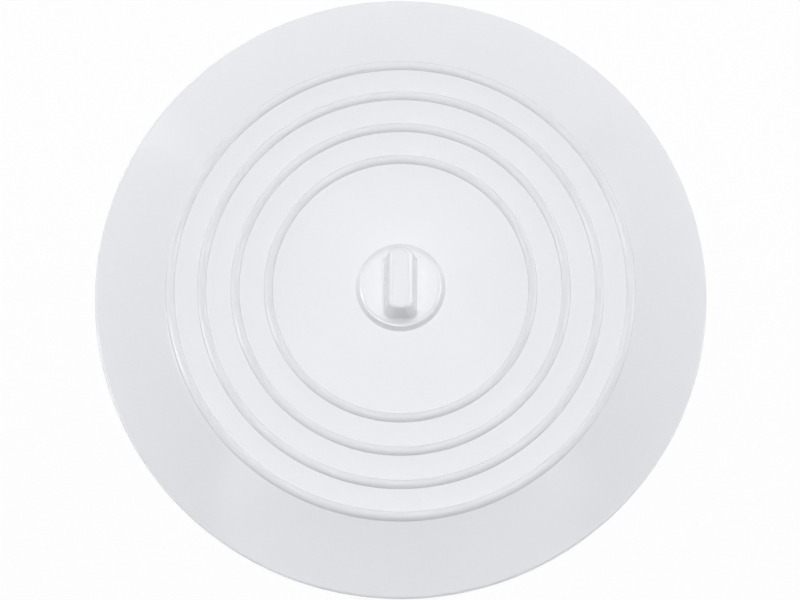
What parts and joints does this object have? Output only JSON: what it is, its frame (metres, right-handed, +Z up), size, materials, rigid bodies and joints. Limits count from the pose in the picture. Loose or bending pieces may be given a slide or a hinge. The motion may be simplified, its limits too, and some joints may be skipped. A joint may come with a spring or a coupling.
{
  "type": "drain stopper",
  "caption": "Round dished drain stopper with concentric raised ribs and a pull knob with a finger bar; it lies over a bath or sink drain and seals on its flat rim.",
  "frame": {"origin": "centre of the disc, on the surface that the rim's sealing band lies on", "axes": "+Z up along the disc's axis, towards the pull knob; +Y along the knob's finger bar; +X across the bar"},
  "size_m": [0.152, 0.152, 0.0197],
  "materials": {
    "disc_silicone": "smooth moulded white silicone, satin",
    "knob_silicone": "smooth moulded white silicone, satin"
  },
  "bodies": {
    "root": {"sealing_disc": "disc_silicone", "pull_knob": "knob_silicone"}
  },
  "joints": []
}
